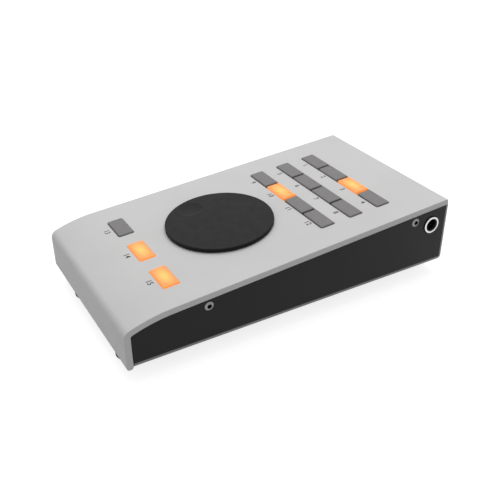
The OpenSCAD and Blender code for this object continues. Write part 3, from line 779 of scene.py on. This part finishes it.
def make_cover(settings):
    """The bent plate with its key slots and the hole for the wheel's hub."""
    cover = settings.cover
    plate = bent_sheet(cover)
    thicken(plate, cover.thickness)
    with editing(plate):
        end = max((TO_PANEL @ vertex.co).y for vertex in bmesh.from_edit_mesh(plate.data).verts)
        pick("EDGE", lambda edge: all_ends(edge, lambda co: (TO_PANEL @ co).y > end - NEAR
                                           and abs((TO_PANEL @ co).z) < NEAR))
        bevel_picked(cover.end_round, 8)
        pick("EDGE", lambda edge: all_ends(edge, lambda co: co.z < COVER_LOW.z + NEAR)
             and abs(edge.verts[0].co.x - edge.verts[1].co.x) > NEAR)
        bevel_picked(cover.lip_round, 6)
    cutters = [slot_cutter(cover, settings.keys, row) for row in KEY_ROWS]
    hub_hole = round_bar("hub_cutter", HUB_HIGH.x + cover.hub_gap, -2 * CUT, CUT)
    move_mesh(hub_hole, PANEL @ Matrix.Translation(WHEEL_ON_PANEL))
    combine(plate, join([*cutters, hub_hole], "cover_cutter"), "DIFFERENCE")
    soften(plate, cover.edge_round)
    finish_piece(plate, cover_paint(cover.paint), CASE, "cover_paint", "top_cover")


class REMOTE_OT_cover(bpy.types.Operator):
    """Model the bent cover with its key slots"""
    bl_idname = "remote.cover"
    bl_label = "Cover"

    def execute(self, context):
        make_cover(context.scene.remote_control)
        return {"FINISHED"}


# The chassis

def roof_cutter(cover, chassis, top):
    """Cutter for the cover's room over the pan, with a seam, and for the pan's round back corner."""
    brow, nose = cover_curves(cover)[:2]
    roof = cover.thickness + chassis.seam
    corner_r = chassis.corner_radius
    back, front = TRAY_HIGH.y, TRAY_LOW.y
    corner_z = PANEL_MID_H + math.tan(SLOPE) * back - roof / math.cos(SLOPE) - corner_r
    slope, brow_slope = math.degrees(SLOPE), math.degrees(cover.brow_slope)
    # Angle on the corner's arc at which it meets the roof
    meeting = slope + math.degrees(math.asin(math.cos(SLOPE) - math.sin(SLOPE)))
    outline = [
        (back + CUT, top), (back + CUT, corner_z),
        *arc((back - corner_r, corner_z), corner_r, 0, meeting, 8),
        *arc((brow.y, brow.z), cover.brow_radius - roof, 90 + slope, 90 + brow_slope, 8),
        *arc((nose.y, nose.z), cover.nose_radius - chassis.seam, 90 + brow_slope, 180, 3)[1:],
        (front - CUT, nose.z), (front - CUT, top),
    ]
    return prism("roof_cutter", outline, TRAY_LOW.x - CUT, TRAY_HIGH.x + CUT)


def cross_bar(radius, spot):
    """Round cutter along X, through the side wall that is nearest to a place."""
    bar = round_bar("cross_cutter", radius, -CUT, CUT, 48)
    move_mesh(bar, facing_side((math.copysign(TRAY_HIGH.x, spot.x), spot.y, spot.z)))
    return bar


def chassis_hole_cutters(chassis, fittings):
    """Cutters for the screws, the sockets and the feet."""
    screw_r = fittings.screw_radius + chassis.screw_gap
    cutters = [cross_bar(screw_r, middle(screw)) for screw in solid_boxes("case_screws")]
    low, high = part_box("jack_ferrule")
    cutters.append(cross_bar((high.z - low.z) / 2 + chassis.jack_gap, (low + high) / 2))
    low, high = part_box("usb_shell")
    room = Vector((chassis.usb_gap, CUT, chassis.usb_gap))
    cutters.append(block("usb_cutter", Vector((low.x, high.y, low.z)) - room, high + room))
    for foot in solid_boxes("feet"):
        hole = round_bar("foot_cutter", fittings.foot_hole, TRAY_LOW.z - CUT, TRAY_LOW.z + CUT, 32)
        move_mesh(hole, Matrix.Translation((*middle(foot).xy, 0)))
        cutters.append(hole)
    return cutters


def on_bend(face, radius):
    """Whether a face of the pan lies on the outside of a bend."""
    spot, normal = face.center, face.normal
    slack = 0.01
    past_side = abs(spot.x) > TRAY_HIGH.x - radius and normal.x * spot.x > 0
    past_back = spot.y > TRAY_HIGH.y - radius and normal.y > -slack
    past_floor = spot.z < TRAY_LOW.z + radius and normal.z < slack
    return past_side + past_back + past_floor > 1 and max(abs(part) for part in normal) < STRAIGHT


def make_chassis(settings):
    """The folded pan: a block with round bends, cut out under the cover, opened and given its sheet."""
    chassis, cover = settings.chassis, settings.cover
    top = TRAY_HIGH.z + CUT
    flange_y = TRAY_HIGH.y - chassis.sheet - chassis.back_flange

    def is_bend(edge):
        spot = (edge.verts[0].co + edge.verts[1].co) / 2
        at_side = abs(spot.x) > TRAY_HIGH.x - NEAR
        at_back = spot.y > TRAY_HIGH.y - NEAR
        at_floor = spot.z < TRAY_LOW.z + NEAR
        return at_side + at_back + at_floor > 1

    def is_opening(face):
        at_roof = face.normal.z > 0.5 and face.calc_center_median().y < flange_y
        at_front = face.normal.y < -0.25
        return at_roof or at_front

    pan = block("chassis_pan", TRAY_LOW, Vector((TRAY_HIGH.x, TRAY_HIGH.y, top)))
    with editing(pan):
        pick("EDGE", is_bend)
        bevel_picked(chassis.bend_radius, 8)
    combine(pan, roof_cutter(cover, chassis, top + CUT), "DIFFERENCE")
    with editing(pan):
        # The second cut keeps the rims of the side walls level until just in front of the flange
        for cut_y in (flange_y, flange_y - chassis.rim_end):
            pick_all()
            bpy.ops.mesh.bisect(plane_co=(0, cut_y, 0), plane_no=(0, 1, 0))
        pick("FACE", is_opening)
        bpy.ops.mesh.delete(type="FACE")
    thicken(pan, chassis.sheet)
    combine(pan, join(chassis_hole_cutters(chassis, settings.fittings), "hole_cutter"), "DIFFERENCE")
    soften(pan, chassis.edge_round, 2)
    # Marks the bends' faces for the painted highlight in the chassis paint
    mark_faces(pan, "bend", lambda face: on_bend(face, chassis.bend_radius))
    finish_piece(pan, chassis_paint(chassis.paint, chassis.rubbed), CASE, "chassis_black", "chassis_tray")


class REMOTE_OT_chassis(bpy.types.Operator):
    """Model the folded chassis pan with its holes"""
    bl_idname = "remote.chassis"
    bl_label = "Chassis"

    def execute(self, context):
        make_chassis(context.scene.remote_control)
        return {"FINISHED"}


# Keys and their numbers

def model_cap(keys):
    """One hollow cap at the panel's middle, with its flange and stem."""
    half_w = (CAP_HIGH.x - CAP_LOW.x) / 2
    half_d = keys.depth / 2
    half_flange = (CAP_HIGH.y - CAP_LOW.y) / 2
    rise, bottom = CAP_HIGH.z, -keys.flange_drop - keys.flange
    cap = rounded_block("key_cap_shape", (-half_w, -half_d, bottom), (half_w, half_d, rise),
                        keys.corner_radius, 5)
    inner_w, inner_d = half_w - keys.wall, half_d - keys.wall
    flange = block("flange", (-inner_w, -half_flange, bottom), (inner_w, half_flange, -keys.flange_drop))
    combine(cap, flange, "UNION")
    hollow = block("hollow", (-inner_w, -inner_d, bottom - CUT), (inner_w, inner_d, rise - keys.wall))
    combine(cap, hollow, "DIFFERENCE")
    combine(cap, round_bar("stem", keys.stem_radius, CAP_LOW.z, rise - keys.wall / 2, 32), "UNION")
    with editing(cap):
        pick("EDGE", lambda edge: all_ends(edge, lambda co: co.z > rise - NEAR)
             and edge.calc_face_angle(0) > SMOOTH_ANGLE)
        bevel_picked(keys.top_round, 5)
    shade(cap)
    face = cap.data.uv_layers.new(name="cap_face")
    for loop in cap.data.loops:
        co = cap.data.vertices[loop.vertex_index].co
        face.data[loop.index].uv = (co.x / half_w, co.y / half_d)
    return cap


def make_key_caps(settings):
    """All the caps, copied from one, with a light in the lit ones."""
    keys = settings.keys
    shape = model_cap(keys)
    unlit, lit = cap_plastic(keys.unlit), lit_cap_plastic(keys)
    for key, spot in KEY_PLACES.items():
        cap = copied(shape, f"cap_{key}", PANEL @ Matrix.Translation(spot))
        is_lit = key in LIT_KEYS
        finish_piece(cap, lit if is_lit else unlit, f"key_{key}", "key_lit" if is_lit else "key_grey",
                     f"key_cap_{key}")
    bpy.data.objects.remove(shape)


class REMOTE_OT_key_caps(bpy.types.Operator):
    """Model the key caps, lit and unlit"""
    bl_idname = "remote.key_caps"
    bl_label = "Key caps"

    def execute(self, context):
        make_key_caps(context.scene.remote_control)
        return {"FINISHED"}


def make_key_numbers(settings):
    """A plain number printed in front of each key."""
    keys = settings.keys
    numbers = []
    for key, spot in KEY_PLACES.items():
        drop = keys.grid_number_drop if key in GRID_KEYS else keys.front_number_drop
        deselect()
        bpy.ops.object.text_add()
        text = bpy.context.object
        text.data.body = str(key)
        text.data.align_x = "CENTER"
        text.data.align_y = "CENTER"
        text.data.size = keys.number_height / DIGIT_HEIGHT
        text.data.extrude = keys.ink_thickness / 2
        text.data.offset = keys.number_weight
        bpy.ops.object.convert(target="MESH")
        number = named(f"number_{key}")
        move_mesh(number, PANEL @ Matrix.Translation(spot - Vector((0, drop, 0))))
        numbers.append(number)
    printed = join(numbers, "key_numbers")
    with editing(printed):
        pick_all()
        bpy.ops.mesh.remove_doubles(threshold=MERGE)
    finish_piece(printed, number_ink(keys.ink), CASE, None)


class REMOTE_OT_key_numbers(bpy.types.Operator):
    """Print a plain number in front of each key"""
    bl_idname = "remote.key_numbers"
    bl_label = "Key numbers"

    def execute(self, context):
        make_key_numbers(context.scene.remote_control)
        return {"FINISHED"}


# The jog wheel

def dimple_outline(wheel):
    """Outline of the dimple's cutter: a shallow bowl that flares out over the wheel's top, at height 0."""
    depth, flare = wheel.dimple_depth, wheel.dimple_round
    # The flare crosses the top at a slight angle in degrees and runs on past it, for a clean cut
    crossing, overrun = 3, 0.5 * MM
    bowl_r = (wheel.dimple_radius ** 2 + depth ** 2) / (2 * depth)
    bowl_height = bowl_r - depth
    flare_height = -flare * math.cos(math.radians(crossing)) - NEAR
    flare_reach = math.sqrt((bowl_r + flare) ** 2 - (bowl_height - flare_height) ** 2)
    slope = math.degrees(math.asin(flare_reach / (bowl_r + flare)))
    bowl = arc((0, bowl_height), bowl_r, 270, 270 + slope, 24)
    rim = arc((flare_reach, flare_height), flare, 90 + slope, 90 + crossing, 10)
    over = (rim[-1][0] + overrun, rim[-1][1] + overrun * math.tan(math.radians(crossing)))
    return [*bowl, *rim[1:], over, (over[0], CUT), (0, CUT)]


def make_jog_wheel(settings):
    """The turned wheel with its finger dimple and the socket for its hub."""
    wheel = settings.wheel
    radius = (WHEEL_HIGH.x - WHEEL_LOW.x) / 2
    low, high = WHEEL_LOW.z, WHEEL_HIGH.z
    socket_r = HUB_HIGH.x + wheel.hub_fit
    outline = [
        (0, HUB_HIGH.z), (socket_r, HUB_HIGH.z), (socket_r, low),
        *arc((radius - wheel.under_round, low + wheel.under_round), wheel.under_round, 270, 360, 4),
        *arc((radius - wheel.top_round, high - wheel.top_round), wheel.top_round, 0, 90, 6), (0, high),
    ]
    disc = lathe("jog_wheel_disc", outline, 160)
    with editing(disc):
        pick("FACE", lambda face: face.normal.z > STRAIGHT and face.calc_center_median().z > high - NEAR)
        bpy.ops.mesh.dissolve_faces()
    cutter = lathe("dimple_cutter", dimple_outline(wheel), 128)
    spot = Matrix.Rotation(wheel.dimple_turn, 3, "Z") @ Vector((wheel.dimple_offset, 0, 0))
    move_mesh(cutter, Matrix.Translation(spot + Vector((0, 0, high))))
    combine(disc, cutter, "DIFFERENCE")
    shade(disc)
    move_mesh(disc, PANEL @ Matrix.Translation(WHEEL_ON_PANEL))
    finish_piece(disc, wheel_black(wheel.black), WHEEL, "wheel_black", "jog_wheel")


class REMOTE_OT_jog_wheel(bpy.types.Operator):
    """Model the jog wheel with its finger dimple"""
    bl_idname = "remote.jog_wheel"
    bl_label = "Jog wheel"

    def execute(self, context):
        make_jog_wheel(context.scene.remote_control)
        return {"FINISHED"}


# Screws, sockets and feet

def make_case_screws(settings):
    """Four button-head screws with a hexagon, copied from one."""
    fittings = settings.fittings
    head_r, head_h = fittings.screw_head_radius, fittings.screw_head
    dome_r = (head_r ** 2 + head_h ** 2) / (2 * head_h)
    dome_half = math.degrees(math.asin(head_r / dome_r))
    dome = arc((0, head_h - dome_r), dome_r, 90 - dome_half, 90, 12)
    outline = [(0, -fittings.screw_length), (fittings.screw_radius, -fittings.screw_length),
               (fittings.screw_radius, 0), *dome]
    screw = lathe("case_screw_shape", outline, 64)
    floor = head_h - fittings.screw_socket
    hexagon = round_bar("hexagon", fittings.screw_hexagon / math.sqrt(3), floor, head_h + CUT, 6)
    combine(screw, hexagon, "DIFFERENCE")
    soften(screw, fittings.screw_edge, 2)
    # The hexagon's faces have their middles hardly further out than its flats
    # The hexagon's faces are marked for the painted shade in the screw's finish
    reach = 0.52 * fittings.screw_hexagon
    mark_faces(screw, "socket", lambda face: face.center.z > floor - NEAR and face.center.xy.length < reach)
    seats = []
    for box in solid_boxes("case_screws"):
        spot = middle(box)
        side = math.copysign(1, spot.x)
        seats.append(facing_side((side * TRAY_HIGH.x, spot.y, spot.z), side))
    heads = spread(screw, "case_screw_heads", seats)
    finish_piece(heads, screw_metal(fittings.screw_steel), CASE, "plain_steel", "case_screws")


class REMOTE_OT_case_screws(bpy.types.Operator):
    """Model the four case screws"""
    bl_idname = "remote.case_screws"
    bl_label = "Case screws"

    def execute(self, context):
        make_case_screws(context.scene.remote_control)
        return {"FINISHED"}


def make_jack(settings):
    """The jack's turned ferrule, and the black liner in its mouth."""
    fittings = settings.fittings
    low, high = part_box("jack_ferrule")
    outer, bore = (high.z - low.z) / 2, fittings.jack_radius
    mouth, depth, drop = fittings.liner_radius, fittings.liner_depth, fittings.liner_drop
    face_round, lip = fittings.ferrule_round, fittings.mouth_round
    run = high.x - low.x
    spot = (low + high) / 2
    seat = facing_side((high.x, spot.y, spot.z))
    outline = [(bore, -run), (outer, -run), *arc((outer - face_round, -face_round), face_round, 0, 90, 6),
               *arc((mouth + lip, -lip), lip, 90, 180, 4), (mouth, -depth), (bore, -depth), (bore, -run)]
    ferrule = lathe("jack_ring", outline)
    outline = [(bore, -depth), (mouth, -depth), (mouth, -drop), (bore + lip, -drop - lip),
               (bore, -drop - 2 * lip), (bore, -depth)]
    liner = lathe("jack_liner", outline)
    for piece in (ferrule, liner):
        shade(piece)
        move_mesh(piece, seat)
    finish_piece(ferrule, plated_metal("jack_nickel", fittings.nickel, 0.1, 0.18), CASE, "jack_nickel",
                 "jack_ferrule")
    finish_piece(liner, moulded("liner_black", fittings.liner), CASE, None)


class REMOTE_OT_jack(bpy.types.Operator):
    """Model the ferrule of the jack socket"""
    bl_idname = "remote.jack"
    bl_label = "Jack socket"

    def execute(self, context):
        make_jack(context.scene.remote_control)
        return {"FINISHED"}


def make_usb(settings):
    """The folded shell of the USB socket."""
    fittings = settings.fittings
    low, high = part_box("usb_shell")
    shell = block("usb_socket_shell", low, high)
    with editing(shell):
        pick("EDGE", lambda edge: abs(edge.verts[0].co.y - edge.verts[1].co.y) > NEAR)
        bevel_picked(fittings.usb_corner, 5)
        pick("FACE", lambda face: face.normal.y > STRAIGHT)
        bpy.ops.mesh.delete(type="FACE")
    thicken(shell, fittings.usb_wall)
    soften(shell, fittings.usb_edge, 2)
    finish_piece(shell, plated_metal("usb_steel", fittings.steel, 0.25, 0.36, (1, 0.1, 1)), CASE,
                 "plain_steel", "usb_shell")


class REMOTE_OT_usb(bpy.types.Operator):
    """Model the shell of the USB socket"""
    bl_idname = "remote.usb"
    bl_label = "USB socket"

    def execute(self, context):
        make_usb(context.scene.remote_control)
        return {"FINISHED"}


def make_feet(settings):
    """Four tapered rubber feet, copied from one."""
    fittings = settings.fittings
    boxes = solid_boxes("feet")
    low, high = boxes[0]
    top, top_r = high.z, (high.x - low.x) / 2
    base_r, edge = top_r - fittings.foot_taper, fittings.foot_round
    shelf = top - fittings.foot_web
    outline = [(fittings.foot_hole, top), (fittings.foot_hole, shelf), (fittings.foot_recess, shelf),
               (fittings.foot_recess, 0), *arc((base_r - edge, edge), edge, 270, 360, 6), (top_r, top),
               (fittings.foot_hole, top)]
    foot = lathe("foot_shape", outline, 64)
    soften(foot, fittings.foot_edge, 2)
    feet = spread(foot, "rubber_feet", [Matrix.Translation((*middle(box).xy, 0)) for box in boxes])
    finish_piece(feet, moulded("foot_rubber", fittings.rubber, 0.6, 0.75), CASE, "foot_rubber", "feet")


class REMOTE_OT_feet(bpy.types.Operator):
    """Model the four rubber feet"""
    bl_idname = "remote.feet"
    bl_label = "Feet"

    def execute(self, context):
        make_feet(context.scene.remote_control)
        return {"FINISHED"}


# Pieces inside, which keep their CAD shape

def inner_finishes(settings):
    """Finish of each record slot that a carried node may have."""
    fittings = settings.fittings
    return {
        "plain_steel": plated_metal("inner_steel", fittings.steel, 0.28, 0.4),
        "board_green": circuit_board("solder_mask", (0.015, 0.12, 0.045), (0.05, 0.24, 0.09)),
        "black_plastic": moulded("black_plastic", (0.018, 0.018, 0.019)),
        "pale_plastic": moulded("pale_plastic", (0.74, 0.73, 0.69)),
        "ribbon_grey": moulded("ribbon_grey", (0.3, 0.32, 0.34)),
        "brass": plated_metal("brass", (0.75, 0.53, 0.2), 0.22, 0.34),
        "hub_metal": plated_metal("hub_metal", (0.45, 0.45, 0.46), 0.3, 0.4),
        "plunger_black": moulded("plunger_black", (0.024, 0.024, 0.026), 0.35, 0.5),
    }


def finish_inner_pieces(settings):
    """Give every node that still shows the finish of its slot."""
    finishes = inner_finishes(settings)
    slots = {part["node"]: part["material_slot"] for part in frame["record"]["subparts"]}
    for name, node in frame["nodes"].items():
        if node.hide_render:
            continue
        for entry in node.material_slots:
            entry.material = finishes[slots[name]]


class REMOTE_OT_inner_pieces(bpy.types.Operator):
    """Finish the pieces inside the case"""
    bl_idname = "remote.inner_pieces"
    bl_label = "Inner pieces"

    def execute(self, context):
        finish_inner_pieces(context.scene.remote_control)
        return {"FINISHED"}


# Stage

def make_camera(stage):
    """Camera at the photograph's view, rolled about its own axis."""
    data = bpy.data.cameras.new("camera")
    data.lens = stage.lens
    # The photograph's pixels were counted from their middles
    data.shift_x, data.shift_y = -HALF_PIXEL, HALF_PIXEL
    camera = bpy.data.objects.new("camera", data)
    bpy.context.scene.collection.objects.link(camera)
    back = (Vector(stage.camera) - Vector(stage.target)).normalized()
    level_right = Vector((-back.y, back.x, 0)).normalized()
    level_up = back.cross(level_right)
    right = math.cos(stage.roll) * level_right + math.sin(stage.roll) * level_up
    up = back.cross(right)
    turned = Matrix((right, up, back)).transposed().to_4x4()
    camera.matrix_world = Matrix.Translation(Vector(stage.camera)) @ turned
    bpy.context.scene.camera = camera


def make_light(stage):
    """Large square light overhead, turned to the middle of the table."""
    data = bpy.data.lights.new("overhead_light", "AREA")
    data.size = stage.light_size
    data.energy = stage.light_power
    light = bpy.data.objects.new("overhead_light", data)
    bpy.context.scene.collection.objects.link(light)
    light.location = stage.light
    light.rotation_mode = "QUATERNION"
    light.rotation_quaternion = (-Vector(stage.light)).to_track_quat("-Z", "Y")


def seen_white(nodes, links):
    """Factor that is 1 for what the camera, gloss or glass sees, and 0 for light."""
    path = nodes.new("ShaderNodeLightPath")
    seen = path.outputs["Is Camera Ray"]
    for ray in ("Is Glossy Ray", "Is Transmission Ray"):
        either = nodes.new("ShaderNodeMath")
        either.operation = "MAXIMUM"
        links.new(seen, either.inputs[0])
        links.new(path.outputs[ray], either.inputs[1])
        seen = either.outputs[0]
    return seen


def make_sky(stage):
    """Even light all round, seen as white."""
    world = bpy.data.worlds.new("sky")
    bpy.context.scene.world = world
    world.use_nodes = True
    nodes, links = world.node_tree.nodes, world.node_tree.links
    even, white = nodes["Background"], nodes.new("ShaderNodeBackground")
    for light, strength in ((even, stage.sky), (white, 1)):
        light.inputs["Color"].default_value = (1, 1, 1, 1)
        light.inputs["Strength"].default_value = strength
    mix = nodes.new("ShaderNodeMixShader")
    links.new(seen_white(nodes, links), mix.inputs["Fac"])
    links.new(even.outputs[0], mix.inputs[1])
    links.new(white.outputs[0], mix.inputs[2])
    links.new(mix.outputs[0], nodes["World Output"].inputs["Surface"])


def make_floor(stage):
    """White floor that keeps a soft shadow."""
    deselect()
    bpy.ops.mesh.primitive_plane_add(size=stage.floor_size)
    floor = named("floor")
    made = bpy.data.materials.new("floor_white")
    made.use_nodes = True
    nodes, links = made.node_tree.nodes, made.node_tree.links
    nodes.remove(nodes["Principled BSDF"])
    matt = nodes.new("ShaderNodeBsdfDiffuse")
    matt.inputs["Color"].default_value = (*stage.floor, 1)
    glow = nodes.new("ShaderNodeEmission")
    lift = nodes.new("ShaderNodeMath")
    lift.operation = "MULTIPLY"
    lift.inputs[1].default_value = stage.backdrop
    links.new(seen_white(nodes, links), lift.inputs[0])
    links.new(lift.outputs[0], glow.inputs["Strength"])
    both = nodes.new("ShaderNodeAddShader")
    links.new(matt.outputs[0], both.inputs[0])
    links.new(glow.outputs[0], both.inputs[1])
    links.new(both.outputs[0], nodes["Material Output"].inputs["Surface"])
    floor.data.materials.append(made)


def make_stage(settings):
    """Camera, light, floor and sky."""
    stage = settings.stage
    make_camera(stage)
    make_light(stage)
    make_floor(stage)
    make_sky(stage)
    bpy.context.scene.view_settings.view_transform = "Standard"


class REMOTE_OT_stage(bpy.types.Operator):
    """Set the camera, the light, the floor and the sky"""
    bl_idname = "remote.stage"
    bl_label = "Stage"

    def execute(self, context):
        make_stage(context.scene.remote_control)
        return {"FINISHED"}


# Sidebar and registration

PIECE_OPERATORS = (
    REMOTE_OT_stage, REMOTE_OT_cover, REMOTE_OT_chassis, REMOTE_OT_key_caps, REMOTE_OT_key_numbers,
    REMOTE_OT_jog_wheel, REMOTE_OT_case_screws, REMOTE_OT_jack, REMOTE_OT_usb, REMOTE_OT_feet,
    REMOTE_OT_inner_pieces,
)


class REMOTE_PT_sidebar(bpy.types.Panel):
    """Lists the pieces of the remote control"""
    bl_idname = "REMOTE_PT_sidebar"
    bl_label = "Desktop Remote Control"
    bl_space_type = "VIEW_3D"
    bl_region_type = "UI"
    bl_category = "Remote"

    def draw(self, context):
        for operator in PIECE_OPERATORS:
            self.layout.operator(operator.bl_idname)


CLASSES = (
    CoverSettings, ChassisSettings, KeySettings, WheelSettings, FittingSettings, StageSettings,
    RemoteSettings, *PIECE_OPERATORS, REMOTE_PT_sidebar,
)


def register():
    """Register the classes and the settings."""
    for each in CLASSES:
        bpy.utils.register_class(each)
    bpy.types.Scene.remote_control = PointerProperty(type=RemoteSettings)


def unregister():
    """Remove the settings and the classes."""
    del bpy.types.Scene.remote_control
    for each in reversed(CLASSES):
        bpy.utils.unregister_class(each)


def main():
    """Register the add-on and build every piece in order."""
    register()
    bpy.ops.remote.stage()
    bpy.ops.remote.cover()
    bpy.ops.remote.chassis()
    bpy.ops.remote.key_caps()
    bpy.ops.remote.key_numbers()
    bpy.ops.remote.jog_wheel()
    bpy.ops.remote.case_screws()
    bpy.ops.remote.jack()
    bpy.ops.remote.usb()
    bpy.ops.remote.feet()
    bpy.ops.remote.inner_pieces()


if __name__ == "__main__":
    main()
